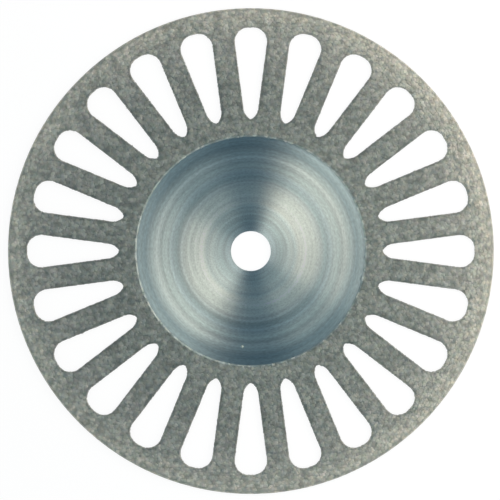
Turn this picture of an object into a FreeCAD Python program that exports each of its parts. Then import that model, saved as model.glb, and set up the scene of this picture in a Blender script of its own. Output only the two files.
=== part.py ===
import FreeCAD, Part
import math
import os

import Sketcher

# Perforated diamond cutting disc for a small straight handpiece, in millimetres.
# The disc's axis is +Z, and the origin is the middle of its bore, halfway through its thickness.
# A thin steel blank carries one continuous plated layer of nickel and diamond grit, which covers
# both faces outside the bare hub, the rim and the walls of the slots.

# Driving dimensions: name, value, what it measures.
DRIVING = [
    ("disc_diameter", 22.0, "over the coated rim"),
    ("bore_diameter", 1.8, "hole for the mandrel's screw"),
    ("hub_thickness", 0.15, "bare steel between the two clamping faces"),
    ("hub_diameter", 10.34, "bare steel, up to the coating's inner edge"),
    ("hub_fall_width", 0.47, "ring at the hub's edge where its face falls to the web"),
    ("web_thickness", 0.12, "steel under the coating"),
    ("coating_thickness", 0.07, "plated layer on each face, on the rim and in the slots"),
    ("coating_lip", 0.02, "height of the coating's blunt inner edge"),
    ("coating_rise_width", 0.09, "radial width in which the coating reaches its full thickness"),
    ("rim_bevel", 0.06, "bevel on the two edges of the coated rim"),
    ("slot_count", 24, "slots round the disc"),
    ("spoke_width", 1.013, "coated spoke between two slots, the same all along"),
    ("inner_ring_width", 0.81, "unbroken coated ring between the hub and the slots"),
    ("outer_ring_width", 0.87, "unbroken coated ring between the slots and the rim"),
    ("slot_tip_radius", 0.138, "rounding of the slot's narrow end"),
    ("slot_flank_radius", 0.686, "arc from the tip to the slot's straight side"),
    ("slot_corner_radius", 0.64, "corners of the slot's wide end"),
]

# Sizes worked out from the driving ones: name, formula, what it measures.
DERIVED = [
    ("disc_radius", "=disc_diameter / 2", "coated rim"),
    ("bore_radius", "=bore_diameter / 2", "wall of the bore"),
    ("hub_radius", "=hub_diameter / 2", "coating's inner edge"),
    ("hub_flat_radius", "=hub_radius - hub_fall_width", "edge of the hub's flat clamping face"),
    ("hub_half", "=hub_thickness / 2", "middle plane to the clamping face"),
    ("web_half", "=web_thickness / 2", "middle plane to the web's face"),
    ("coated_half", "=web_half + coating_thickness", "middle plane to the coated face"),
    ("lip_half", "=web_half + min(coating_lip; coating_thickness)", "middle plane to the lip's top"),
    ("blank_radius", "=disc_radius - coating_thickness", "steel rim under the coating"),
    ("coated_radius", "=hub_radius + coating_rise_width", "where the coated face turns flat"),
    ("bevel", "=min(rim_bevel; 0.9 * coated_half)", "rim bevel, limited by half the thickness"),
    ("half_pitch", "=180deg / slot_count", "from a slot's middle line to the next spoke's"),
    ("slot_start", "=hub_radius + inner_ring_width", "radius of the slot's tip"),
    ("slot_end", "=disc_radius - outer_ring_width", "radius of the slot's wide end"),
    ("tip_room", "=(slot_start * sin(half_pitch) - spoke_width / 2) / (1 - sin(half_pitch))",
     "largest circle between the sides at the tip"),
    ("end_room", "=(slot_end * sin(half_pitch) - spoke_width / 2) / (1 + sin(half_pitch))",
     "largest circle between a side and the wide end"),
    ("tip_radius", "=min(slot_tip_radius; 0.8 * tip_room)", "tip rounding, limited by its room"),
    ("flank_radius", "=max(slot_flank_radius; 1.1 * tip_room)", "flank, outside the tip's largest circle"),
    ("corner_radius", "=min(slot_corner_radius; 0.95 * end_room)", "corner, limited by its room"),
    ("half_spoke", "=spoke_width / 2", "spoke's middle line to the slot's side"),
    ("tip_centre", "=slot_start + tip_radius", "radius of the tip's centre"),
    ("blank_half_spoke", "=half_spoke - coating_thickness", "the same in the steel"),
    ("blank_slot_start", "=slot_start - coating_thickness", "flat tip of the slot in the steel"),
    ("blank_slot_end", "=slot_end + coating_thickness", "flat wide end of the slot in the steel"),
    ("tip_flat", "=2 * (tip_room + coating_thickness) * tan((90deg - half_pitch) / 4)",
     "flat between tip and side in the steel, clear of the tip's largest circle"),
    ("tip_flat_slope", "=(90deg + half_pitch) / 2", "slope of that flat"),
    ("corner_flat", "=2 * (corner_radius + coating_thickness) * tan((90deg + half_pitch) / 4)",
     "flat between side and wide end in the steel, clear of the corner's circle"),
    ("corner_flat_slope", "=(90deg - half_pitch) / 2", "slope of that flat"),
]

# How Sketcher's constraints number the points of a curve, the origin and the horizontal axis.
START, END, CENTRE = range(1, 4)
ORIGIN_INDEX = -1
X_AXIS_INDEX = -1

doc = FreeCAD.newDocument("DiamondCuttingDisc")
sheet = doc.addObject("Spreadsheet::Sheet", "Dimensions")


def fill_sheet():
    """Give each size a row: its name, its value or formula, and what it measures."""
    for row, (alias, value, meaning) in enumerate(DRIVING + DERIVED, start=1):
        sheet.set(f"A{row}", alias)
        sheet.set(f"B{row}", str(value))
        sheet.setAlias(f"B{row}", alias)
        sheet.set(f"C{row}", meaning)
    doc.recompute()


def size(alias):
    """Value of a cell as a plain number, an angle in degrees."""
    value = sheet.get(alias)
    return float(getattr(value, "Value", value))


def origin_feature(body, role):
    """One of the body's own origin planes or axes."""
    return next(item for item in body.Origin.OriginFeatures if item.Role == role)


def new_sketch(body, name, plane):
    """Empty sketch on one of the body's origin planes."""
    sketch = body.newObject("Sketcher::SketchObject", name)
    sketch.AttachmentSupport = (origin_feature(body, plane), "")
    sketch.MapMode = "FlatFace"
    return sketch


def relate(sketch, kind, *places):
    """Add a constraint that has no size."""
    sketch.addConstraint(Sketcher.Constraint(kind, *places))


def measure(sketch, kind, *places, by):
    """Add a constraint whose size is bound to a cell."""
    index = sketch.addConstraint(Sketcher.Constraint(kind, *places, sheet.get(by)))
    sketch.setExpression(f"Constraints[{index}]", f"Dimensions.{by}")


def below(point):
    """The point mirrored in the sketch's X axis."""
    return FreeCAD.Vector(point.x, -point.y, 0)


def section_sketch(body, name, stations):
    """Closed half section with straight sides. Its stations, each a radius and a half height,
    run outwards along the upper face, and the lower face mirrors them."""
    sketch = new_sketch(body, name, "XZ_Plane")
    upper = [FreeCAD.Vector(size(radius), size(height), 0) for radius, height in stations]
    corners = upper + [below(point) for point in reversed(upper)]
    count = len(corners)
    for index, corner in enumerate(corners):
        sketch.addGeometry(Part.LineSegment(corner, corners[(index + 1) % count]), False)
    for index in range(count):
        relate(sketch, "Coincident", index, END, (index + 1) % count, START)
    for index, (radius, height) in enumerate(stations):
        measure(sketch, "DistanceX", index, START, by=radius)
        measure(sketch, "DistanceY", index, START, by=height)
        relate(sketch, "Symmetric", index, START, count - 1 - index, START, X_AXIS_INDEX)
    return sketch


def arc(centre, start, end):
    """Arc about a centre, anticlockwise from one point to another at the same distance."""
    circle = Part.Circle(centre, FreeCAD.Vector(0, 0, 1), centre.distanceToPoint(start))
    first = math.atan2(start.y - centre.y, start.x - centre.x)
    last = math.atan2(end.y - centre.y, end.x - centre.x)
    if last < first:
        last += 2 * math.pi
    return Part.ArcOfCircle(circle, first, last)


def side_line(half_spoke):
    """Direction of the upper side of the slot along +X, the way from that side into the slot, and
    a point of the side. It runs parallel to the next spoke's middle line, half a spoke away."""
    angle = math.radians(size("half_pitch"))
    along = FreeCAD.Vector(math.cos(angle), math.sin(angle), 0)
    inward = FreeCAD.Vector(math.sin(angle), -math.cos(angle), 0)
    return along, inward, inward * size(half_spoke)


def slot_curves():
    """Outline of the finished slot that lies along +X, as eight curves that touch end to end.

    The flank's circle touches the side and holds the tip's circle inside it. The corner's circle
    touches the same side and the arc of the wide end. The lower half mirrors the upper one.
    """
    tip = size("tip_radius")
    flank = size("flank_radius")
    corner = size("corner_radius")
    end = size("slot_end")
    along, inward, base = side_line("half_spoke")
    tip_centre = FreeCAD.Vector(size("tip_centre"), 0, 0)
    flank_drop = flank - (tip_centre - base).dot(inward)
    flank_run = math.sqrt((flank - tip) ** 2 - flank_drop ** 2)
    flank_centre = tip_centre + inward * flank_drop + along * flank_run
    turn = math.radians(size("half_pitch")) - math.asin((base.Length + corner) / (end - corner))
    outward = FreeCAD.Vector(math.cos(turn), math.sin(turn), 0)
    corner_centre = outward * (end - corner)
    tip_top = tip_centre + (tip_centre - flank_centre).normalize() * tip
    side_start = flank_centre - inward * flank
    side_end = corner_centre - inward * corner
    end_top = outward * end
    return [
        arc(tip_centre, tip_top, below(tip_top)),
        arc(flank_centre, side_start, tip_top),
        Part.LineSegment(side_start, side_end),
        arc(corner_centre, end_top, side_end),
        arc(FreeCAD.Vector(), below(end_top), end_top),
        arc(below(corner_centre), below(side_end), below(end_top)),
        Part.LineSegment(below(side_start), below(side_end)),
        arc(below(flank_centre), below(tip_top), below(side_start)),
    ]


def hold_side(sketch, side, half_spoke):
    """Hold a slot's upper side parallel to the next spoke's middle line, half a spoke away."""
    along, _, _ = side_line(half_spoke)
    side_length = sketch.Geometry[side].length()
    spoke = sketch.addGeometry(Part.LineSegment(FreeCAD.Vector(), along * side_length), True)
    relate(sketch, "Coincident", spoke, START, ORIGIN_INDEX, START)
    relate(sketch, "Equal", spoke, side)
    relate(sketch, "Parallel", spoke, side)
    measure(sketch, "Angle", spoke, by="half_pitch")
    measure(sketch, "Distance", side, START, spoke, by=half_spoke)


def finished_slot_sketch(body, name):
    """Round outline of the slot once the coating lines it."""
    sketch = new_sketch(body, name, "XY_Plane")
    curves = slot_curves()
    for curve in curves:
        sketch.addGeometry(curve, False)
    tip, flank, side, corner, wide_end, low_corner, low_side, low_flank = range(len(curves))
    relate(sketch, "Tangent", tip, START, flank, END)
    relate(sketch, "Tangent", flank, START, side, START)
    relate(sketch, "Tangent", side, END, corner, END)
    relate(sketch, "Tangent", corner, START, wide_end, END)
    relate(sketch, "Tangent", wide_end, START, low_corner, END)
    relate(sketch, "Tangent", low_corner, START, low_side, END)
    relate(sketch, "Tangent", low_side, START, low_flank, END)
    relate(sketch, "Tangent", low_flank, START, tip, END)
    relate(sketch, "Symmetric", side, START, low_side, START, X_AXIS_INDEX)
    relate(sketch, "Equal", flank, low_flank)
    relate(sketch, "Equal", corner, low_corner)
    relate(sketch, "PointOnObject", tip, CENTRE, X_AXIS_INDEX)
    relate(sketch, "Coincident", wide_end, CENTRE, ORIGIN_INDEX, START)
    hold_side(sketch, side, "half_spoke")
    measure(sketch, "DistanceX", tip, CENTRE, by="tip_centre")
    measure(sketch, "Radius", tip, by="tip_radius")
    measure(sketch, "Radius", flank, by="flank_radius")
    measure(sketch, "Radius", corner, by="corner_radius")
    measure(sketch, "Radius", wide_end, by="slot_end")
    return sketch


def on_side(half_spoke, distance):
    """The point of a slot's upper side at this distance from the disc's axis along X."""
    along, _, base = side_line(half_spoke)
    return base + along * ((distance - base.x) / along.x)


def blank_slot_sketch(body, name):
    """Outline of the slot as it is cut in the steel, one coating's thickness outside the finished
    slot, with flats for the round stretches. It keeps the coating at least that thick."""
    sketch = new_sketch(body, name, "XY_Plane")
    along, _, _ = side_line("blank_half_spoke")
    start_corner = on_side("blank_half_spoke", size("blank_slot_start"))
    end_corner = on_side("blank_half_spoke", size("blank_slot_end"))
    start_setback = size("tip_flat") / (2 * math.sin(math.radians(size("tip_flat_slope"))))
    end_setback = size("corner_flat") / (2 * math.sin(math.radians(size("corner_flat_slope"))))
    up = FreeCAD.Vector(0, 1, 0)
    upper = [
        start_corner - up * start_setback,
        start_corner + along * start_setback,
        end_corner - along * end_setback,
        end_corner - up * end_setback,
    ]
    corners = upper + [below(point) for point in reversed(upper)]
    count = len(corners)
    for index, corner in enumerate(corners):
        sketch.addGeometry(Part.LineSegment(corner, corners[(index + 1) % count]), False)
    for index in range(count):
        relate(sketch, "Coincident", index, END, (index + 1) % count, START)
    for index in range(len(upper)):
        relate(sketch, "Symmetric", index, START, count - 1 - index, START, X_AXIS_INDEX)
    flank, side, corner, wide_end = range(len(upper))
    hold_side(sketch, side, "blank_half_spoke")
    measure(sketch, "DistanceX", flank, START, by="blank_slot_start")
    measure(sketch, "Distance", flank, by="tip_flat")
    measure(sketch, "Angle", flank, by="tip_flat_slope")
    measure(sketch, "DistanceX", wide_end, START, by="blank_slot_end")
    measure(sketch, "Distance", corner, by="corner_flat")
    measure(sketch, "Angle", corner, END, X_AXIS_INDEX, END, by="corner_flat_slope")
    return sketch


def revolved(body, name, section):
    """The section turned once round the body's Z axis."""
    feature = body.newObject("PartDesign::Revolution", name)
    feature.Profile = section
    feature.ReferenceAxis = (origin_feature(body, "Z_Axis"), [""])
    feature.Angle = 360
    doc.recompute()
    return feature


def edges_of_radius(feature, radius):
    """Names of the feature's round edges that have this radius."""
    names = []
    for index, edge in enumerate(feature.Shape.Edges, start=1):
        if isinstance(edge.Curve, Part.Circle) and math.isclose(edge.Curve.Radius, radius, rel_tol=1e-6):
            names.append(f"Edge{index}")
    return names


def slotted(body, name, outline):
    """The slot cut both ways from the middle plane, then repeated round the body's Z axis."""
    slot = body.newObject("PartDesign::Pocket", name)
    slot.Profile = outline
    slot.Type = "ThroughAll"
    slot.SideType = "Symmetric"
    ring = body.newObject("PartDesign::PolarPattern", f"{name}Ring")
    ring.Originals = [slot]
    ring.Axis = (origin_feature(body, "Z_Axis"), [""])
    ring.Angle = 360
    ring.setExpression("Occurrences", "Dimensions.slot_count")
    body.Tip = ring
    return ring


def steel_blank():
    """Steel disc: bore, flat hub, falling ring at the hub's edge, thin slotted web."""
    body = doc.addObject("PartDesign::Body", "SteelBlank")
    body.Label = "steel_blank"
    section = section_sketch(body, "BlankSection", [
        ("bore_radius", "hub_half"),
        ("hub_flat_radius", "hub_half"),
        ("hub_radius", "web_half"),
        ("blank_radius", "web_half"),
    ])
    revolved(body, "BlankDisc", section)
    slotted(body, "BlankSlot", blank_slot_sketch(body, "BlankSlotOutline"))
    return body


def coated_envelope():
    """Outer form of the plated area, solid through: blunt lip, rise, flat faces, bevelled rim."""
    body = doc.addObject("PartDesign::Body", "CoatedEnvelope")
    body.Label = "coated_envelope"
    section = section_sketch(body, "CoatedSection", [
        ("hub_radius", "lip_half"),
        ("coated_radius", "coated_half"),
        ("disc_radius", "coated_half"),
    ])
    ring = revolved(body, "CoatedRing", section)
    bevels = body.newObject("PartDesign::Chamfer", "RimBevels")
    bevels.Base = (ring, edges_of_radius(ring, size("disc_radius")))
    bevels.setExpression("Size", "Dimensions.bevel")
    slotted(body, "CoatedSlot", finished_slot_sketch(body, "CoatedSlotOutline"))
    return body


def diamond_coating(blank, envelope):
    """The plated layer: its outer form less the steel that it covers."""
    coating = doc.addObject("Part::Cut", "DiamondCoating")
    coating.Label = "diamond_coating"
    coating.Base = envelope
    coating.Tool = blank
    return coating


def check_document():
    """Stop if any object of the document failed."""
    for item in doc.Objects:
        if "Invalid" in item.State or "Error" in item.State:
            raise RuntimeError(f"{item.Name} failed: {item.State}")


def check_slots(body, disc):
    """Stop if the slots took nothing away from the body's round form."""
    if body.Shape.Volume > 0.99 * disc.Shape.Volume:
        raise RuntimeError(f"{body.Label}: the slots cut nothing")


def check_piece(piece):
    """Stop unless the piece is one valid solid."""
    shape = piece.Shape
    if shape.isNull() or not shape.isValid() or len(shape.Solids) != 1:
        raise RuntimeError(f"{piece.Label} isn't one valid solid")


fill_sheet()
blank = steel_blank()
envelope = coated_envelope()
coating = diamond_coating(blank, envelope)
doc.recompute()

check_document()
check_slots(blank, doc.BlankDisc)
check_slots(envelope, doc.RimBevels)
pieces = [blank, coating]
for piece in pieces:
    check_piece(piece)

os.makedirs("parts", exist_ok=True)
for piece in pieces:
    piece.Shape.exportStep(f"parts/{piece.Label}.step")
    print(f"{piece.Label}: {piece.Shape.Volume:.4f} cubic mm, {len(piece.Shape.Faces)} faces")
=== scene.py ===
import math

import bmesh
import bpy
import numpy as np
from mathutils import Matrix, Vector


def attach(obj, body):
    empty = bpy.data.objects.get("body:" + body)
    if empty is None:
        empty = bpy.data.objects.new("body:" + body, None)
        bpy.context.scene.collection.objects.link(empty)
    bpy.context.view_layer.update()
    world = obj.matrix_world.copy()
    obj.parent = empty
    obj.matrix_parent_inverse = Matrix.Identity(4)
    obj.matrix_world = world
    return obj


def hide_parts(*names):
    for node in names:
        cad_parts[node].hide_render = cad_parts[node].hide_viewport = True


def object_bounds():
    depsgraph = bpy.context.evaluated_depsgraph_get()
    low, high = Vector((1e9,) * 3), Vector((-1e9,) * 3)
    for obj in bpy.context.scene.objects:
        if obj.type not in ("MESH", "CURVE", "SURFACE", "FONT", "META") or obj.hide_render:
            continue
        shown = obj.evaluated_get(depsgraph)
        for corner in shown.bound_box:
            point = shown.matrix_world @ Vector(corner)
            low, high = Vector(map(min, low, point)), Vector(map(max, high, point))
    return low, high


# Perforated diamond cutting disc: turned steel hub, 24 cooling slots, nickel plating full of grit.
# Sizes are millimetres until a mesh is made; the disc's axis is +Z through the middle of its bore.
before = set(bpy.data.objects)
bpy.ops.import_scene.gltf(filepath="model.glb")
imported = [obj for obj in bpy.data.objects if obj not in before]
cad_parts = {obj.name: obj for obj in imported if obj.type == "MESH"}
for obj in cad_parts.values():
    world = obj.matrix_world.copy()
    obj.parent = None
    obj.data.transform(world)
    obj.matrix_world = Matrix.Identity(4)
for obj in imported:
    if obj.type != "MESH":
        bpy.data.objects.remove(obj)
cad_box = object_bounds()
MM = 0.001
WELD_DISTANCE = 1e-7         # in metres
SHARP_ANGLE = math.radians(35)

# Forms that the solids have
SLOT_COUNT = 24
BORE_RADIUS = 0.9
HUB_FLAT_RADIUS = 4.70       # where the falling ring at the hub's edge starts
HUB_RADIUS = 5.17            # where the coating starts
COATED_RADIUS = 5.26         # where it has its full thickness
DISC_RADIUS = 11.0
HUB_HALF = 0.075             # half thicknesses of the hub, of the steel under the coating, and over all
WEB_HALF = 0.06
COATED_HALF = 0.13
COATING = 0.07
SLOT_START = 5.98            # radii of the finished slots' narrow and wide ends
SLOT_END = 10.13
HALF_SPOKE = 0.5065
TIP_RADIUS = 0.138
FLANK_RADIUS = 0.686
CORNER_RADIUS = 0.64
HALF_PITCH = math.pi / SLOT_COUNT

# Nickel
NICKEL_ROUND = 0.03          # rounding of the nickel at every edge
ROUND_STEPS = 3
SHOULDER_WIDTH = 0.03        # bevel between the nickel's face and its rise from the hub
SHOULDER_DROP = 0.005
LIP_HALF = 0.068             # half thickness of the thin lip at the nickel's inner edge
LIP_WIDTH = 0.02
LIP_FOOT = 0.002             # width of the step from the steel up to the lip
LIP_SLOPE = 0.003            # the lip's surface starts this much lower and ends this much higher

# Crystals of both faces
GRIT_HEIGHT = 0.03           # how far they stand out of the nickel
GRIT_PITCH = 0.15            # mean distance between crystals
GRIT_JITTER = 0.32           # how far each is moved from its place in the lattice, in pitches
GRIT_RADIUS = 0.12           # from a crystal's middle to its corners, before it is flattened
GRIT_FLATNESS = 0.2          # a crystal's thickness as a share of its width
GRIT_STRETCH = (0.8, 1.2)    # least and greatest stretch of a crystal, drawn for each of its axes
HUB_CLEARANCE = 0.085        # the innermost crystals' middles are this far from the hub
RIM_CLEARANCE = 0.1          # the outermost ones are this far from the rim
SLOT_CLEARANCE = 0.09        # and none is nearer to a slot
INNER_SEAT = 0.022           # height above the web of the crystals' tips beside the hub
RISE_WIDTH = 0.11            # distance from the hub at which they reach their full height
RIM_LEAN = 0.19              # how far the crystals beyond the slots lean outwards, as a slope
LEAN_LEAD = 0.7              # the lean starts this far before the slots' wide ends
LEAN_WIDTH = 0.6             # and has grown full over this distance

# Crystals of the slots' walls and the rim
EDGE_GRIT_HEIGHT = 0.02
EDGE_GRIT_PITCH = 0.09
EDGE_GRIT_JITTER = 0.3
EDGE_GRIT_RADIUS = 0.06
EDGE_BEND = 0.05             # radius of the bend from a face to an edge, as the crystals follow it
OUTLINE_STEPS = (12, 20, 120, 40)  # of the slot's half outline that all crystals are placed by

# Every crystal
TIP_SPREAD = 0.014           # crystals end this far short of the coating's full size, at most
TIP_MARGIN = 0.002           # no crystal comes nearer than this to the full size
STRAY_PLACE = (-0.378, -4.32)
STRAY_HEIGHT = 0.025
STRAY_RADIUS = 0.07

# Turned face of the hub
GROOVE_PITCH = 0.03
GROOVE_DEPTH = 0.0006        # standard deviation of the tool marks' heights
BORE_CHAMFER = 0.015

# Tone of the crystals from 0, dark, to 1, pale, with painted shade beside the slots and on their walls
TONE_SHAPE = 1.6             # both parameters of the beta distribution that tones are drawn from
SLOT_PAINTED_SHADE = 0.2             # painted shade: how much darker crystals are beside a slot
SLOT_PAINTED_SHADE_WIDTH = 0.16      # and how far from it this ends
EDGE_TONE_SHAPE = 2.2        # as TONE_SHAPE, for the slots' walls and the rim
WALL_PAINTED_SHADE = -0.1            # painted shade: darker tone on the slots' walls
RIM_SHADE = 0.35             # change of tone on the rim

# Tint of nickel and grit by radius, from the hub, 0, to the rim, 1
PLATING_TINTS = [
    (0.010, (0.84, 0.93, 0.94)),
    (0.016, (0.52, 0.56, 0.548)),
    (0.45, (0.55, 0.58, 0.568)),
    (0.72, (0.68, 0.69, 0.677)),
    (0.86, (0.815, 0.82, 0.785)),
    (0.95, (1.0, 0.97, 0.91)),
]

# Soft patches over nickel and grit: tint by the cloud noise's value
PLATING_PATCHES = [
    (0.3, (0.695, 0.715, 0.70)),
    (0.7, (1.03, 1.02, 0.985)),
]
PATCH_SCALE = 3900.0         # of the cloud noise, per metre
HUE_DRIFT = 0.22             # how far a second noise moves red and blue, as a share
DRIFT_SCALE = 6000.0

# Grit by its tone, and the nickel between
GRIT_COLOURS = [
    (0.0, (0.41, 0.415, 0.405)),
    (0.5, (0.54, 0.55, 0.53)),
    (1.0, (0.685, 0.68, 0.645)),
]
NICKEL_COLOUR = (0.45, 0.47, 0.46)
LUMP_SCALE = 14000.0         # of the noise that makes the nickel lumpy, per metre
LUMP_HEIGHT = 0.01
LUSTRE_WIDTH = 0.02          # the nickel's lustre changes over this distance, beside its full height

# Colour and roughness of the hub from the bore, 0, to the coating's edge, 1. The colours are partly the
# turned rings' own tone and partly painted reflection; they were fitted until the render's ring averages met
# the photograph's at these radii.
STEEL_RINGS_AND_REFLECTION = [
    (0.033, (0.62, 0.72, 0.73)),
    (0.107, (0.67, 0.78, 0.77)),
    (0.171, (0.68, 0.77, 0.75)),
    (0.224, (0.80, 0.88, 0.84)),
    (0.256, (0.70, 0.78, 0.75)),
    (0.309, (0.95, 0.99, 0.91)),
    (0.356, (0.80, 0.84, 0.78)),
    (0.394, (0.84, 0.89, 0.82)),
    (0.468, (0.80, 0.85, 0.79)),
    (0.526, (0.72, 0.78, 0.75)),
    (0.579, (0.58, 0.69, 0.68)),
    (0.627, (0.63, 0.73, 0.73)),
    (0.680, (0.71, 0.80, 0.77)),
    (0.733, (0.64, 0.72, 0.69)),
    (0.791, (0.82, 0.89, 0.85)),
    (0.839, (0.63, 0.72, 0.70)),
    (0.876, (0.53, 0.62, 0.62)),
    (0.913, (0.41, 0.51, 0.53)),
    (0.955, (0.51, 0.62, 0.63)),
    (1.000, (0.52, 0.63, 0.65)),
]
STEEL_ROUGHNESS = [
    (0.05, (0.54,) * 3),
    (0.16, (0.51,) * 3),
    (0.30, (0.46,) * 3),
    (0.42, (0.45,) * 3),
    (0.58, (0.50,) * 3),
    (0.80, (0.48,) * 3),
    (1.0, (0.50,) * 3),
]

# Rings of the turning, from wide swells to fine scratches: width in mm, changes on the way round,
# and the noise's detail. Then how far each moves the colour, partly as painted reflection, and the widest
# two the roughness.
TURNING_RINGS = [(0.5, 7, 0.0), (0.29, 0.35, 0.0), (0.1, 4, 0.5), (0.045, 170, 1.0)]
COLOUR_AND_REFLECTION_REACH = [0.04, 0.10, 0.085, 0.11]
ROUGHNESS_REACH = [0.06, 0.04]
NOISE_LOW = 0.3              # noise stays mostly between these two
NOISE_HIGH = 0.7

# Floor
FLOOR_REACH = 3.0            # half its width, in metres
FLOOR_COLOUR = (0.8, 0.8, 0.8)
FLOOR_GLOW = 1.08            # its own light for rays that see it, where 1 is white
FLOOR_GLOW_SHARE = 0.85      # the rest is the diffuse floor

# Studio: light of its walls by direction, in degrees anticlockwise from +X, where 1 is white. It was
# fitted to the photograph's light on the hub and coating, and then changed.
WALL_LIGHT = [
    (0, 0.05), (30, 0.29), (63, 0.70), (73, 0.0), (95, 0.0), (125, 0.22), (155, 0.44), (185, 0.80),
    (213, 1.10), (236, 1.20), (241.5, 0.02), (275, 0.07), (305, 0.10), (335, 0.13), (359, 0.05),
]
WALL_COLOUR = (0.945, 0.94, 0.845)
ROOM_LIGHT = (0.091, 0.162, 0.222)  # added in every direction above the walls' foot
# Share of the walls' light by the sine of elevation, and where the white below their foot ends
WALL_BY_HEIGHT = [(0.0, (1, 1, 1)), (0.80, (1, 1, 1)), (0.95, (0.15, 0.15, 0.15))]
WALL_FOOT = [(0.08, (0, 0, 0)), (0.12, (1, 1, 1))]
KEY_COLOUR = (1.0, 0.89, 0.77)
SIDE_COLOUR = (0.86, 0.90, 0.83)

# Photograph: its width, and the disc's middle from its upper left corner, in pixels, and its scale.
# Then the camera's height over the disc in metres and its sensor's width in mm.
IMAGE_SIZE = 500
CENTRE_X = 250.86
CENTRE_Y = 251.06
PIXELS_PER_MM = 22.09
CAMERA_HEIGHT = 1.0
SENSOR = 36.0

rng = np.random.default_rng(24)


def piece(name, points, corners, counts, smooth):
    """Mesh object from whole arrays: points in millimetres, the corner indices of all faces in one
    row, and how many corners each face has."""
    mesh = bpy.data.meshes.new(name)
    starts = np.concatenate([[0], np.cumsum(counts)[:-1]])
    mesh.vertices.add(len(points))
    mesh.vertices.foreach_set("co", (np.asarray(points) * MM).astype(np.float32).ravel())
    mesh.loops.add(len(corners))
    mesh.loops.foreach_set("vertex_index", np.asarray(corners, np.int32))
    mesh.polygons.add(len(counts))
    mesh.polygons.foreach_set("loop_start", starts.astype(np.int32))
    mesh.polygons.foreach_set("use_smooth", np.full(len(counts), smooth))
    mesh.update(calc_edges=True)
    mesh.validate()
    thing = bpy.data.objects.new(name, mesh)
    bpy.context.scene.collection.objects.link(thing)
    return thing


def grid_faces(rows, columns, around):
    """Quads of a grid of points, row by row. Where `around` is set, the last column joins the first."""
    last = columns if around else columns - 1
    row, column = np.meshgrid(np.arange(rows - 1), np.arange(last), indexing="ij")
    after = (column + 1) % columns
    here = row * columns
    above = here + columns
    return np.stack([here + column, here + after, above + after, above + column], axis=-1).reshape(-1, 4)


def welded(name, grids):
    """One closed, smooth mesh from several grids of quads. A grid is its points, as rows by columns
    by three, and whether its columns close up and its faces are turned over."""
    points = []
    quads = []
    offset = 0
    for values, around, turned_over in grids:
        rows, columns = values.shape[:2]
        faces = grid_faces(rows, columns, around) + offset
        quads.append(faces[:, ::-1] if turned_over else faces)
        points.append(values.reshape(-1, 3))
        offset += rows * columns
    quads = np.concatenate(quads)
    thing = piece(name, np.concatenate(points), quads.ravel(), np.full(len(quads), 4), True)
    merge = bmesh.new()
    merge.from_mesh(thing.data)
    bmesh.ops.remove_doubles(merge, verts=merge.verts, dist=WELD_DISTANCE)
    merge.to_mesh(thing.data)
    merge.free()
    thing.data.set_sharp_from_angle(angle=SHARP_ANGLE)
    return thing


def slot_half(tip_steps, flank_steps, side_steps, corner_steps):
    """Upper half of the slot along +X, from the narrow to the wide end: points of its outline, and
    at each the direction into the metal. Small circle at the tip; larger circle that holds it and
    touches the side; straight side, half a spoke from the next spoke's middle line; corner circle;
    arc about the disc's axis."""
    along = np.array([math.cos(HALF_PITCH), math.sin(HALF_PITCH)])
    inward = np.array([math.sin(HALF_PITCH), -math.cos(HALF_PITCH)])
    tip_centre = np.array([SLOT_START + TIP_RADIUS, 0.0])
    drop = FLANK_RADIUS - (tip_centre - inward * HALF_SPOKE) @ inward
    run = math.sqrt((FLANK_RADIUS - TIP_RADIUS) ** 2 - drop ** 2)
    flank_centre = tip_centre + inward * drop + along * run
    turn = HALF_PITCH - math.asin((HALF_SPOKE + CORNER_RADIUS) / (SLOT_END - CORNER_RADIUS))
    corner_centre = (SLOT_END - CORNER_RADIUS) * np.array([math.cos(turn), math.sin(turn)])
    meet = math.atan2(*(tip_centre - flank_centre)[::-1])
    side = HALF_PITCH + math.pi / 2
    tip = np.linspace(math.pi, meet, tip_steps + 1)[:-1]
    flank = np.linspace(meet, side, flank_steps + 1)
    corner = np.linspace(side, turn, corner_steps + 1)
    bearing = np.concatenate([tip, flank, np.full(side_steps - 1, side), corner, [0.0]])
    normal = np.stack([np.cos(bearing), np.sin(bearing)], axis=-1)
    on_flank = slice(tip_steps, tip_steps + flank_steps + 1)
    side_end = on_flank.stop - 1 + side_steps
    outline = np.empty_like(normal)
    outline[:tip_steps] = tip_centre + TIP_RADIUS * normal[:tip_steps]
    outline[on_flank] = flank_centre + FLANK_RADIUS * normal[on_flank]
    outline[side_end:] = corner_centre + CORNER_RADIUS * normal[side_end:]
    outline[-1] = [SLOT_END, 0.0]
    share = np.linspace(0, 1, side_steps + 1)[1:-1, None]
    side_start = outline[on_flank.stop - 1]
    outline[on_flank.stop:side_end] = side_start + share * (outline[side_end] - side_start)
    return outline, normal


def both_halves(upper):
    """Closed loop: an upper half from the narrow to the wide end, and its mirror image back."""
    lower = upper[-2:0:-1] * [1, -1]
    return np.concatenate([upper, lower])


def sector_edge(inner, outer, steps):
    """Loop round one slot's share of the disc, stepping as the slot's outline does: arc at the inner
    radius, straight along the next spoke's middle line, and arc at the outer radius."""
    inner_steps, side_steps, outer_steps = steps
    angle = np.concatenate([
        np.linspace(0, HALF_PITCH, inner_steps + 1)[:-1],
        np.full(side_steps, HALF_PITCH),
        np.linspace(HALF_PITCH, 0, outer_steps + 1),
    ])
    radius = np.concatenate([
        np.full(inner_steps, inner),
        np.linspace(inner, outer, side_steps + 1)[:-1],
        np.full(outer_steps + 1, outer),
    ])
    return both_halves(np.stack([radius * np.cos(angle), radius * np.sin(angle)], axis=-1))


def at_height(flat, height):
    """Flat points lifted to one height."""
    return np.concatenate([flat, np.full((len(flat), 1), height)], axis=1)


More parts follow.
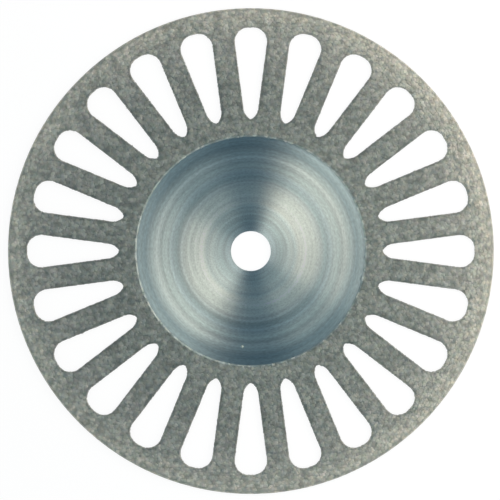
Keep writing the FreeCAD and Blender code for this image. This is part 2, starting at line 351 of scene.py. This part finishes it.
def turned_copies(points):
    """The same points once for each slot, turned about the disc's axis."""
    turns = 2 * HALF_PITCH * np.arange(SLOT_COUNT)
    cos, sin = np.cos(turns), np.sin(turns)
    zero, one = np.zeros(SLOT_COUNT), np.ones(SLOT_COUNT)
    matrices = np.array([[cos, sin, zero], [-sin, cos, zero], [zero, zero, one]]).transpose(2, 0, 1)
    return points @ matrices[:, None] if points.ndim == 3 else points @ matrices


def edge_section(half, rounding):
    """Half section of a rounded edge, as distance into the metal and height, from the top face to
    the bottom one: quarter circle, wall, quarter circle."""
    if not rounding:
        return [(0.0, half), (0.0, -half)]
    angle = np.linspace(math.pi / 2, 0, ROUND_STEPS + 1)
    depth = rounding * (1 - np.cos(angle))
    height = half - rounding * (1 - np.sin(angle))
    return list(zip(depth, height)) + list(zip(depth[::-1], -height[::-1]))


def slotted_skin(outset, half, rounding, inner, rim, slot_steps, turned_over=False):
    """Grids of the slotted ring's surface. Between a slot and the edge of its sector the flat faces
    blend straight from one loop to the other; the slot's wall and the rim follow the edge section."""
    tip_steps, flank_steps, side_steps, corner_steps = slot_steps
    steps = (tip_steps + flank_steps, side_steps, corner_steps + 1)
    outline, normal = slot_half(*slot_steps)
    outline, normal = both_halves(outline), both_halves(normal)
    section = edge_section(half, rounding)
    border = sector_edge(inner, rim - rounding, steps)
    rows = [at_height(border, half)]
    rows += [at_height(outline + (outset + depth) * normal, height) for depth, height in section]
    rows.append(at_height(border, -half))
    sector = np.stack(rows)
    grids = [(copy, True, not turned_over) for copy in turned_copies(sector)]
    angles = np.concatenate([
        np.linspace(-HALF_PITCH, HALF_PITCH, 2 * steps[2] + 1)[:-1] + 2 * HALF_PITCH * index
        for index in range(SLOT_COUNT)
    ])
    profile = np.array([(rim - depth, height) for depth, height in section])
    grids.append((revolved(profile, angles), True, not turned_over))
    return grids


def revolved(profile, angles):
    """Surface of revolution: each profile point, a radius and a height, at each angle."""
    radius, height = profile[:, 0, None], profile[:, 1, None]
    across = [radius * np.cos(angles), radius * np.sin(angles), height + 0 * angles]
    return np.stack(across, axis=-1)


def inner_angles(inner_steps):
    """Angles at which the slotted ring's inner edge has its points."""
    return np.arange(2 * inner_steps * SLOT_COUNT) * HALF_PITCH / inner_steps


def hub_profile():
    """Radius and height of the turned face, from the hub's edge to the bore: a falling ring, then
    a flat face, and a chamfer at the bore. Tool marks are small random heights, lowered as a whole
    until none stands above the face."""
    count = round((HUB_RADIUS - BORE_RADIUS - BORE_CHAMFER) / GROOVE_PITCH)
    radius = np.linspace(HUB_RADIUS, BORE_RADIUS + BORE_CHAMFER, count)
    fall = np.clip((radius - HUB_FLAT_RADIUS) / (HUB_RADIUS - HUB_FLAT_RADIUS), 0, 1)
    height = HUB_HALF - (HUB_HALF - WEB_HALF) * fall
    marks = GROOVE_DEPTH * rng.standard_normal(count)
    marks[[0, -1]] = 0
    marks[1:] -= marks.max()
    top = np.stack([radius, height + marks], axis=-1)
    return np.concatenate([top, [[BORE_RADIUS, HUB_HALF - BORE_CHAMFER]]])


def steel_disc():
    """Turned hub with its bore, and the slotted web that the coating covers."""
    slot_steps = (1, 3, 6, 5)
    upper = hub_profile()
    lower = hub_profile()[::-1] * [1, -1]
    hub = revolved(np.concatenate([upper, lower]), inner_angles(slot_steps[0] + slot_steps[1]))
    web = slotted_skin(COATING, WEB_HALF, 0, HUB_RADIUS, DISC_RADIUS - COATING, slot_steps)
    return welded("steel_disc", web + [(hub, True, False)])


def nickel_plating():
    """Nickel that holds the grit: closed shell with the steel's surface inside and, outside, a
    rounded skin that the crystals stand out of. Its inner edge is a low blunt lip on the hub."""
    slot_steps = (3, 5, 20, 9)
    half = COATED_HALF - GRIT_HEIGHT
    angles = inner_angles(slot_steps[0] + slot_steps[1])
    rim = DISC_RADIUS - EDGE_GRIT_HEIGHT
    outer = slotted_skin(EDGE_GRIT_HEIGHT, half, NICKEL_ROUND, COATED_RADIUS, rim, slot_steps)
    inner = slotted_skin(COATING, WEB_HALF, 0, HUB_RADIUS, DISC_RADIUS - COATING, slot_steps, True)
    rise = np.array([
        (COATED_RADIUS, half),
        (COATED_RADIUS - SHOULDER_WIDTH, half - SHOULDER_DROP),
        (HUB_RADIUS + LIP_WIDTH, LIP_HALF + LIP_SLOPE),
        (HUB_RADIUS + LIP_FOOT, LIP_HALF - LIP_SLOPE),
        (HUB_RADIUS, WEB_HALF),
    ])
    top = (revolved(rise, angles), True, False)
    bottom = (revolved(rise * [1, -1], angles), True, True)
    return welded("nickel_plating", outer + inner + [top, bottom])


# Forms of crystal: the corners of a unit form and its faces
OCTAHEDRON = (
    np.array([[1, 0, 0], [-1, 0, 0], [0, 1, 0], [0, -1, 0], [0, 0, 1], [0, 0, -1]], float),
    np.array([[0, 2, 4], [2, 1, 4], [1, 3, 4], [3, 0, 4], [2, 0, 5], [1, 2, 5], [3, 1, 5], [0, 3, 5]]),
)
CUBE = (
    np.array([[x, y, z] for x in (-1, 1) for y in (-1, 1) for z in (-1, 1)], float) / math.sqrt(3),
    np.array([[0, 1, 3, 2], [4, 6, 7, 5], [0, 4, 5, 1], [2, 3, 7, 6], [0, 2, 6, 4], [1, 5, 7, 3]]),
)
# Blunt octahedron: a square waist, and a smaller flat square above and below it
FLAT_REACH = 0.45
FLAT_HEIGHT = 0.85
BLOCK = (
    np.array([[FLAT_REACH, 0, FLAT_HEIGHT], [-FLAT_REACH, 0, FLAT_HEIGHT],
              [0, FLAT_REACH, FLAT_HEIGHT], [0, -FLAT_REACH, FLAT_HEIGHT],
              [FLAT_REACH, 0, -FLAT_HEIGHT], [-FLAT_REACH, 0, -FLAT_HEIGHT],
              [0, FLAT_REACH, -FLAT_HEIGHT], [0, -FLAT_REACH, -FLAT_HEIGHT],
              [1, 0, 0], [-1, 0, 0], [0, 1, 0], [0, -1, 0]], float),
    np.array([[0, 8, 10], [0, 10, 2], [2, 10, 9], [2, 9, 1], [1, 9, 11], [1, 11, 3], [3, 11, 8], [3, 8, 0],
              [0, 2, 1], [0, 1, 3],
              [4, 10, 8], [4, 6, 10], [6, 9, 10], [6, 5, 9], [5, 11, 9], [5, 7, 11], [7, 8, 11], [7, 4, 8],
              [4, 5, 6], [4, 7, 5]]),
)
FORMS = (OCTAHEDRON, CUBE, BLOCK)
FORM_LIMITS = (0.3, 0.6)     # shares of all crystals that are of the first form, and of the first two


def random_turns(count):
    """Random rotation matrices, from random unit quaternions."""
    w, x, y, z = rng.standard_normal((4, count))
    w, x, y, z = np.array([w, x, y, z]) / np.sqrt(w * w + x * x + y * y + z * z)
    rows = [
        [1 - 2 * (y * y + z * z), 2 * (x * y - z * w), 2 * (x * z + y * w)],
        [2 * (x * y + z * w), 1 - 2 * (x * x + z * z), 2 * (y * z - x * w)],
        [2 * (x * z - y * w), 2 * (y * z + x * w), 1 - 2 * (x * x + y * y)],
    ]
    return np.array(rows).transpose(2, 0, 1)


def crystals(form, radius, seats, outward):
    """Crystals of one form: corners of a unit form, stretched and turned at random, flattened along
    the outward direction, then pushed along it until the highest corner is just short of the seat.
    One that still reaches past the coating's faces or rim is moved back in by as much."""
    corners, _ = form
    count = len(seats)
    stretch = radius * rng.uniform(*GRIT_STRETCH, (count, 1, 3))
    shapes = (corners * stretch) @ random_turns(count)
    shapes -= (1 - GRIT_FLATNESS) * (shapes @ outward[:, :, None]) * outward[:, None]
    reach = (shapes @ outward[:, :, None]).max(axis=1)
    short = TIP_MARGIN + TIP_SPREAD * rng.random((count, 1))
    shapes = shapes + (seats - (reach + short) * outward)[:, None]
    over = np.clip(np.abs(shapes[:, :, 2]).max(axis=1) - COATED_HALF + TIP_MARGIN, 0, None)
    shapes[:, :, 2] -= (over * np.sign(shapes[:, :, 2].mean(axis=1)))[:, None]
    distance = np.hypot(shapes[:, :, 0], shapes[:, :, 1]).max(axis=1)
    keep = np.clip((DISC_RADIUS - TIP_MARGIN) / distance, None, 1)
    middle = shapes[:, :, :2].mean(axis=1)
    shapes[:, :, :2] -= (middle * (1 - keep)[:, None] * distance[:, None]
                         / np.hypot(*middle.T)[:, None])[:, None]
    return shapes


def grit(name, radius, seats, outward, tone):
    """One piece of grit, with each crystal's form drawn by lot. Its tone, with any painted shade in it, is
    kept in the mesh for the material."""
    kind = np.digitize(rng.random(len(seats)), FORM_LIMITS)
    points, corners, counts, tones = [], [], [], []
    offset = 0
    for index, form in enumerate(FORMS):
        chosen = kind == index
        shapes = crystals(form, radius, seats[chosen], outward[chosen])
        count, size = shapes.shape[:2]
        faces = form[1] + (offset + size * np.arange(count))[:, None, None]
        points.append(shapes.reshape(-1, 3))
        corners.append(faces.ravel())
        counts.append(np.full(faces.shape[0] * faces.shape[1], faces.shape[2]))
        tones.append(np.repeat(tone[chosen], size))
        offset += count * size
    thing = piece(name, np.concatenate(points), np.concatenate(corners), np.concatenate(counts), False)
    values = thing.data.attributes.new("grain_tone_and_shade", "FLOAT", "POINT")
    values.data.foreach_set("value", np.concatenate(tones).astype(np.float32))
    return thing


def depth_from_slot(x, y):
    """How deep a point is in the metal, measured from the nearest slot's outline: the point is
    turned into the first slot's upper half, and its nearest outline point and normal give it."""
    angle = np.arctan2(y, x)
    folded = np.abs((angle + HALF_PITCH) % (2 * HALF_PITCH) - HALF_PITCH)
    radius = np.hypot(x, y)
    place = np.stack([radius * np.cos(folded), radius * np.sin(folded)], axis=-1)
    outline, normal = slot_half(*OUTLINE_STEPS)
    apart = place[:, None] - outline
    nearest = np.einsum("pqi,pqi->pq", apart, apart).argmin(axis=1)
    row = np.arange(len(place))
    return np.einsum("pi,pi->p", apart[row, nearest], normal[nearest])


def grit_tone_and_shade(depth):
    """Tone of each crystal: a random share, with painted shade that makes it darker beside a slot."""
    # painted shade: crystals beside a slot are made darker
    painted_shade_beside_slot = np.clip(1 - depth / SLOT_PAINTED_SHADE_WIDTH, 0, 1)
    return np.clip(rng.beta(TONE_SHAPE, TONE_SHAPE, len(depth)) - SLOT_PAINTED_SHADE * painted_shade_beside_slot, 0, 1)


def face_grit(name, side):
    """Crystals of one face, on a jittered triangular lattice that leaves the slots and hub free.
    Their tips rise from the hub's edge to the full height, and those beyond the slots lean out."""
    row_step = GRIT_PITCH * math.sqrt(3) / 2
    rows = math.ceil(DISC_RADIUS / row_step)
    columns = math.ceil(DISC_RADIUS / GRIT_PITCH)
    row, column = np.meshgrid(np.arange(-rows, rows + 1), np.arange(-columns, columns + 1), indexing="ij")
    x = (GRIT_PITCH * (column + 0.5 * (row % 2))).ravel()
    y = (row_step * row).ravel()
    x = x + GRIT_PITCH * rng.uniform(-GRIT_JITTER, GRIT_JITTER, x.size)
    y = y + GRIT_PITCH * rng.uniform(-GRIT_JITTER, GRIT_JITTER, y.size)
    radius = np.hypot(x, y)
    ring = (radius > HUB_RADIUS + HUB_CLEARANCE) & (radius < DISC_RADIUS - RIM_CLEARANCE)
    x, y, radius = x[ring], y[ring], radius[ring]
    depth = depth_from_slot(x, y)
    kept = depth > SLOT_CLEARANCE
    x, y, radius, depth = x[kept], y[kept], radius[kept], depth[kept]
    rise = np.clip((radius - HUB_RADIUS) / RISE_WIDTH, 0, 1)
    height = WEB_HALF + INNER_SEAT + (COATED_HALF - WEB_HALF - INNER_SEAT) * rise
    seats = np.stack([x, y, side * height], axis=-1)
    lean = RIM_LEAN * np.clip((radius - SLOT_END + LEAN_LEAD) / LEAN_WIDTH, 0, 1)
    outward = np.stack([lean * x / radius, lean * y / radius, np.full(len(x), side)], axis=-1)
    outward /= np.linalg.norm(outward, axis=1)[:, None]
    return grit(name, GRIT_RADIUS, seats, outward, grit_tone_and_shade(depth))


def edge_grit():
    """Crystals of the slots' walls and the rim, in three rows: one level, and one each way at half
    a right angle on the rounded edges. Along a wall they are spaced by the outline's length."""
    outline, normal = slot_half(*OUTLINE_STEPS)
    outline, normal = both_halves(outline), both_halves(normal)
    outline = np.concatenate([outline, outline[:1]])
    normal = np.concatenate([normal, normal[:1]])
    length = np.concatenate([[0], np.cumsum(np.hypot(*np.diff(outline, axis=0).T))])
    wall_count = int(length[-1] / EDGE_GRIT_PITCH)
    rim_count = int(2 * math.pi * DISC_RADIUS / EDGE_GRIT_PITCH)
    seats, outward, shade = [], [], []
    for row, tilt in enumerate((-math.pi / 4, 0, math.pi / 4)):
        height = (COATED_HALF - EDGE_BEND) * np.sign(tilt) + EDGE_BEND * math.sin(tilt)
        inset = EDGE_BEND * (1 - math.cos(tilt))
        for slot in range(SLOT_COUNT):
            jitter = rng.uniform(-EDGE_GRIT_JITTER, EDGE_GRIT_JITTER, wall_count)
            at = (np.arange(wall_count) + 0.5 * row + jitter) * EDGE_GRIT_PITCH % length[-1]
            place = np.stack([np.interp(at, length, values) for values in outline.T], axis=-1)
            facing = np.stack([np.interp(at, length, values) for values in normal.T], axis=-1)
            facing /= np.hypot(*facing.T)[:, None]
            turn = 2 * HALF_PITCH * slot
            matrix = np.array([[math.cos(turn), math.sin(turn)], [-math.sin(turn), math.cos(turn)]])
            place, facing = (place + inset * facing) @ matrix, facing @ matrix
            seats.append(at_height(place, height))
            outward.append(at_height(-facing * math.cos(tilt), math.sin(tilt)))
            # painted shade on the slots' walls
            shade.append(np.full(wall_count, WALL_PAINTED_SHADE))
        jitter = rng.uniform(-EDGE_GRIT_JITTER, EDGE_GRIT_JITTER, rim_count)
        angle = (np.arange(rim_count) + 0.5 * row + jitter) * 2 * math.pi / rim_count
        around = np.stack([np.cos(angle), np.sin(angle)], axis=-1)
        seats.append(at_height((DISC_RADIUS - inset) * around, height))
        outward.append(at_height(around * math.cos(tilt), math.sin(tilt)))
        shade.append(np.full(rim_count, RIM_SHADE))
    seats = np.concatenate(seats)
    tone = rng.beta(EDGE_TONE_SHAPE, EDGE_TONE_SHAPE, len(seats)) + np.concatenate(shade)
    return grit("grit_edges", EDGE_GRIT_RADIUS, seats, np.concatenate(outward), np.clip(tone, 0, 1))


def stray_crystal():
    """One pale crystal that stuck to the bare hub, where the photograph shows a speck."""
    seat = np.array([[*STRAY_PLACE, HUB_HALF + STRAY_HEIGHT]])
    return grit("stray_crystal", STRAY_RADIUS, seat, np.array([[0.0, 0.0, 1.0]]), np.array([1.0]))


def node(tree, kind, links=None, **settings):
    """Shader node with its settings. Each link is an input's name or number and its value or the
    output that feeds it."""
    made = tree.nodes.new(kind)
    for name, value in settings.items():
        setattr(made, name, value)
    for name, value in (links or {}).items():
        if isinstance(value, bpy.types.NodeSocket):
            tree.links.new(value, made.inputs[name])
        else:
            made.inputs[name].default_value = value
    return made


def material(name):
    """Empty node material with its Principled shader."""
    made = bpy.data.materials.new(name)
    made.use_nodes = True
    shader = made.node_tree.nodes["Principled BSDF"]
    return made, made.node_tree, shader


def ramp(tree, factor, stops, interpolation="LINEAR"):
    """Colour ramp with its stops, each a position and a colour."""
    made = node(tree, "ShaderNodeValToRGB", {"Fac": factor})
    made.color_ramp.interpolation = interpolation
    elements = made.color_ramp.elements
    while len(elements) < len(stops):
        elements.new(1.0)
    for element, (position, colour) in zip(elements, stops):
        element.position = position
        element.color = (*colour, 1)
    return made.outputs["Color"]


def flat_place(tree):
    """Object coordinates with the height taken out."""
    place = node(tree, "ShaderNodeTexCoord").outputs["Object"]
    return node(tree, "ShaderNodeVectorMath", {0: place, 1: (1, 1, 0)}, operation="MULTIPLY").outputs[0]


def axis_distance(tree):
    """Distance from the disc's axis, in metres."""
    return node(tree, "ShaderNodeVectorMath", {0: flat_place(tree)}, operation="LENGTH").outputs["Value"]


def ring_noise(tree, width, around, detail):
    """Noise that runs round the axis: rings of about the given width, in millimetres, that change
    about `around` times on their way round."""
    way = node(tree, "ShaderNodeVectorMath", {0: flat_place(tree)}, operation="NORMALIZE").outputs[0]
    way = node(tree, "ShaderNodeVectorMath", {
        0: way, "Scale": around / (2 * math.pi)}, operation="SCALE").outputs[0]
    across = node(tree, "ShaderNodeMath", {0: axis_distance(tree), 1: 1 / (width * MM)}, operation="MULTIPLY")
    across = node(tree, "ShaderNodeCombineXYZ", {"Z": across.outputs[0]}).outputs[0]
    place = node(tree, "ShaderNodeVectorMath", {0: way, 1: across}, operation="ADD").outputs[0]
    return node(tree, "ShaderNodeTexNoise", {"Vector": place, "Scale": 1.0, "Detail": detail}).outputs["Fac"]


def swayed(tree, noise, reach):
    """Factor of 1 that noise moves up or down by `reach`."""
    return node(tree, "ShaderNodeMapRange", {
        "Value": noise, "From Min": NOISE_LOW, "From Max": NOISE_HIGH,
        "To Min": 1 - reach, "To Max": 1 + reach}, clamp=False).outputs["Result"]


def product(tree, first, *others):
    """Several values multiplied."""
    for other in others:
        first = node(tree, "ShaderNodeMath", {0: first, 1: other}, operation="MULTIPLY").outputs[0]
    return first


def mixed(tree, factor, first, second, blend="MIX"):
    """Second colour mixed over the first."""
    return node(tree, "ShaderNodeMix", {"Factor": factor, 6: first, 7: second},
                data_type="RGBA", blend_type=blend).outputs[2]


def plating_tone_group():
    """Shader group for nickel and grit: the given colour, cool and deeper next to the hub, paler
    and warmer towards the rim, and mottled by two soft noises, one in tone and one in hue."""
    group = bpy.data.node_groups.new("plating_tone", "ShaderNodeTree")
    group.interface.new_socket("Colour", in_out="INPUT", socket_type="NodeSocketColor")
    group.interface.new_socket("Mottle", in_out="INPUT", socket_type="NodeSocketFloat")
    group.interface.new_socket("Colour", in_out="OUTPUT", socket_type="NodeSocketColor")
    enter = group.nodes.new("NodeGroupInput")
    leave = group.nodes.new("NodeGroupOutput")
    radius = axis_distance(group)
    share = node(group, "ShaderNodeMapRange", {
        "Value": radius, "From Min": HUB_RADIUS * MM, "From Max": DISC_RADIUS * MM}).outputs["Result"]
    tint = ramp(group, share, PLATING_TINTS)
    place = node(group, "ShaderNodeTexCoord").outputs["Object"]
    cloud = node(group, "ShaderNodeTexNoise", {"Vector": place, "Scale": PATCH_SCALE, "Detail": 0.0})
    patches = ramp(group, cloud.outputs["Fac"], PLATING_PATCHES)
    drift = node(group, "ShaderNodeTexNoise", {"Vector": place, "Scale": DRIFT_SCALE, "Detail": 0.0})
    low = 1 - HUE_DRIFT / 2
    drift = node(group, "ShaderNodeVectorMath", {
        0: drift.outputs["Color"], 1: (HUE_DRIFT, 0, HUE_DRIFT), 2: (low, 1, low)},
        operation="MULTIPLY_ADD").outputs[0]
    patches = node(group, "ShaderNodeVectorMath", {0: patches, 1: drift}, operation="MULTIPLY").outputs[0]
    tinted = mixed(group, 1.0, enter.outputs["Colour"], tint, "MULTIPLY")
    mottled = mixed(group, enter.outputs["Mottle"], tinted, patches, "MULTIPLY")
    group.links.new(mottled, leave.inputs["Colour"])
    return group


def plating_colour(tree, tone_group, colour, mottle):
    """The plating_tone group placed in a material, with its own colour and share of mottle."""
    placed = node(tree, "ShaderNodeGroup", node_tree=tone_group)
    if isinstance(colour, bpy.types.NodeSocket):
        tree.links.new(colour, placed.inputs["Colour"])
    else:
        placed.inputs["Colour"].default_value = (*colour, 1)
    placed.inputs["Mottle"].default_value = mottle
    return placed.outputs["Colour"]


def grit_material(tone_group):
    """Diamond grit: each crystal has its own tone, from cool dark grey to warm beige, with painted shade
    that darkens the crystals beside the slots and on their walls.
    """
    made, tree, shader = material("diamond_grit")
    # the tone holds the painted shade beside and on the slots
    tone = node(tree, "ShaderNodeAttribute", attribute_name="grain_tone_and_shade").outputs["Fac"]
    colour = plating_colour(tree, tone_group, ramp(tree, tone, GRIT_COLOURS), 1.0)
    tree.links.new(colour, shader.inputs["Base Color"])
    shader.inputs["Metallic"].default_value = 0.2
    shader.inputs["Roughness"].default_value = 0.55
    shader.inputs["IOR"].default_value = 1.5
    return made


def nickel_material(tone_group):
    """Electroplated nickel between the crystals: dull, slightly lumpy metal, and a little more
    lustrous on its rise from the hub."""
    made, tree, shader = material("plated_nickel")
    tree.links.new(plating_colour(tree, tone_group, NICKEL_COLOUR, 1.0), shader.inputs["Base Color"])
    place = node(tree, "ShaderNodeTexCoord").outputs["Object"]
    lumps = node(tree, "ShaderNodeTexNoise", {"Vector": place, "Scale": LUMP_SCALE, "Detail": 3.0})
    bump = node(tree, "ShaderNodeBump", {
        "Strength": 0.6, "Distance": LUMP_HEIGHT * MM, "Height": lumps.outputs["Fac"]})
    tree.links.new(bump.outputs["Normal"], shader.inputs["Normal"])
    share = node(tree, "ShaderNodeMapRange", {
        "Value": axis_distance(tree), "From Min": (COATED_RADIUS - LUSTRE_WIDTH) * MM,
        "From Max": COATED_RADIUS * MM}).outputs["Result"]
    tree.links.new(ramp(tree, share, [(0.0, (0.8,) * 3), (1.0, (0.5,) * 3)]), shader.inputs["Metallic"])
    tree.links.new(ramp(tree, share, [(0.0, (0.40,) * 3), (1.0, (0.5,) * 3)]), shader.inputs["Roughness"])
    return made


def steel_material():
    """Turned spring steel. Gloss is stretched across the tool marks, so light fans out from the
    bore. Wide and narrow rings and short scratches differ in colour, partly their own tone and partly
    painted reflection, and the wide ones in roughness too, and they fade in and out on their way round."""
    made, tree, shader = material("turned_steel")
    share = node(tree, "ShaderNodeMapRange", {
        "Value": axis_distance(tree), "From Min": BORE_RADIUS * MM,
        "From Max": HUB_RADIUS * MM}).outputs["Result"]
    rings = [ring_noise(tree, *values) for values in TURNING_RINGS]
    # ring colours: partly the steel's own tone, partly painted reflection
    level = product(tree, *[swayed(tree, noise, reach) for noise, reach in zip(rings, COLOUR_AND_REFLECTION_REACH)])
    rings_and_reflection = ramp(tree, share, STEEL_RINGS_AND_REFLECTION)
    colour = node(tree, "ShaderNodeVectorMath", {0: rings_and_reflection, "Scale": level}, operation="SCALE").outputs[0]
    tree.links.new(colour, shader.inputs["Base Color"])
    rough = product(tree, ramp(tree, share, STEEL_ROUGHNESS),
                    *[swayed(tree, noise, reach) for noise, reach in zip(rings, ROUGHNESS_REACH)])
    tree.links.new(rough, shader.inputs["Roughness"])
    tangent = node(tree, "ShaderNodeTangent", direction_type="RADIAL", axis="Z").outputs["Tangent"]
    tree.links.new(tangent, shader.inputs["Tangent"])
    shader.inputs["Metallic"].default_value = 1.0
    shader.inputs["Anisotropic"].default_value = 1.0
    shader.inputs["Anisotropic Rotation"].default_value = 0.25
    return made


def dressed(thing, finish, replaced):
    """Give a piece its material and its body, and hide the solid that it stands for."""
    thing.data.materials.append(finish)
    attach(thing, "root")
    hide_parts(replaced)


def pale_floor():
    """Wide floor under the disc. Rays from the camera, and gloss that mirrors it, see it nearly
    white; a small diffuse share keeps the disc's shadow."""
    mesh = bpy.data.meshes.new("floor")
    low = cad_box[0][2]
    signs = ((-1, -1), (1, -1), (1, 1), (-1, 1))
    corners = [(x * FLOOR_REACH, y * FLOOR_REACH, low) for x, y in signs]
    mesh.from_pydata(corners, [], [(0, 1, 2, 3)])
    floor = bpy.data.objects.new("floor", mesh)
    bpy.context.scene.collection.objects.link(floor)
    made = bpy.data.materials.new("pale_floor")
    made.use_nodes = True
    tree = made.node_tree
    tree.nodes.clear()
    paths = node(tree, "ShaderNodeLightPath").outputs
    seen = node(tree, "ShaderNodeMath", {
        0: paths["Is Camera Ray"], 1: paths["Is Glossy Ray"]}, operation="ADD")
    seen = node(tree, "ShaderNodeMath", {0: seen.outputs[0], 1: paths["Is Transmission Ray"]},
                operation="ADD", use_clamp=True)
    share = node(tree, "ShaderNodeMath", {0: seen.outputs[0], 1: FLOOR_GLOW_SHARE}, operation="MULTIPLY")
    matt = node(tree, "ShaderNodeBsdfDiffuse", {"Color": (*FLOOR_COLOUR, 1)})
    glow = node(tree, "ShaderNodeEmission", {"Color": (1, 1, 1, 1), "Strength": FLOOR_GLOW})
    blend = node(tree, "ShaderNodeMixShader", {0: share.outputs[0], 1: matt.outputs[0], 2: glow.outputs[0]})
    node(tree, "ShaderNodeOutputMaterial", {"Surface": blend.outputs[0]})
    mesh.materials.append(made)


def studio():
    """Light from far round the disc: walls that grow bright towards the upper right and the lower
    left of the picture and fall to dark just beyond, so that the turned hub shows its bow-tie of
    light. They are dim overhead and white below their foot, and a cool light fills the room."""
    world = bpy.data.worlds.new("studio")
    bpy.context.scene.world = world
    world.use_nodes = True
    tree = world.node_tree
    back = tree.nodes["Background"]
    way = node(tree, "ShaderNodeTexCoord").outputs["Generated"]
    parts = node(tree, "ShaderNodeSeparateXYZ", {0: way}).outputs
    bearing = node(tree, "ShaderNodeMath", {0: parts["Y"], 1: parts["X"]}, operation="ARCTAN2").outputs[0]
    turn = node(tree, "ShaderNodeMath", {0: bearing, 1: 2 * math.pi}, operation="DIVIDE").outputs[0]
    turn = node(tree, "ShaderNodeMath", {0: turn}, operation="FRACT").outputs[0]
    around = ramp(tree, turn, [(degrees / 360, (level,) * 3) for degrees, level in WALL_LIGHT], "EASE")
    height = ramp(tree, parts["Z"], WALL_BY_HEIGHT, "EASE")
    lit = mixed(tree, 1.0, around, height, "MULTIPLY")
    above_foot = ramp(tree, parts["Z"], WALL_FOOT)
    warm = mixed(tree, 1.0, lit, (*WALL_COLOUR, 1), "MULTIPLY")
    filled = mixed(tree, 1.0, warm, (*ROOM_LIGHT, 1), "ADD")
    whole = mixed(tree, above_foot, (1, 1, 1, 1), filled)
    tree.links.new(whole, back.inputs["Color"])
    back.inputs["Strength"].default_value = 1.0


def softbox(name, bearing, elevation, distance, width, height, brightness, colour):
    """Rectangular lamp of one colour that looks at the middle of the disc; angles in degrees, sizes
    in mm. Its brightness is a share of white, and its power is pi times that times its area."""
    lamp = bpy.data.lights.new(name, "AREA")
    lamp.shape = "RECTANGLE"
    lamp.size = width * MM
    lamp.size_y = height * MM
    lamp.energy = math.pi * brightness * lamp.size * lamp.size_y
    lamp.color = colour
    holder = bpy.data.objects.new(name, lamp)
    bpy.context.scene.collection.objects.link(holder)
    flat = math.cos(math.radians(elevation))
    way = Vector((flat * math.cos(math.radians(bearing)), flat * math.sin(math.radians(bearing)),
                  math.sin(math.radians(elevation))))
    holder.location = way * distance * MM
    holder.rotation_euler = way.to_track_quat("Z", "Y").to_euler()


def camera():
    """Camera straight above the disc, framed as the photograph is."""
    lens = bpy.data.cameras.new("camera")
    lens.sensor_width = SENSOR
    lens.lens = SENSOR * CAMERA_HEIGHT * PIXELS_PER_MM / (IMAGE_SIZE * MM)
    lens.shift_x = (IMAGE_SIZE / 2 - CENTRE_X) / IMAGE_SIZE
    lens.shift_y = (CENTRE_Y - IMAGE_SIZE / 2) / IMAGE_SIZE
    lens.clip_start = 0.01
    lens.clip_end = 20.0
    holder = bpy.data.objects.new("camera", lens)
    holder.location = (0, 0, CAMERA_HEIGHT)
    bpy.context.scene.collection.objects.link(holder)
    bpy.context.scene.camera = holder


tone_group = plating_tone_group()
grit_finish = grit_material(tone_group)
dressed(steel_disc(), steel_material(), "steel_blank")
dressed(nickel_plating(), nickel_material(tone_group), "diamond_coating")
for grit_piece in (face_grit("grit_top", 1), face_grit("grit_bottom", -1), edge_grit(), stray_crystal()):
    dressed(grit_piece, grit_finish, "diamond_coating")

pale_floor()
studio()
softbox("key_lamp", bearing=21.5, elevation=39, distance=34, width=60, height=27.5,
        brightness=1.98, colour=KEY_COLOUR)
softbox("side_lamp", bearing=316, elevation=39, distance=34, width=22, height=27.5,
        brightness=0.71, colour=SIDE_COLOUR)
camera()
bpy.context.scene.view_settings.view_transform = "Standard"
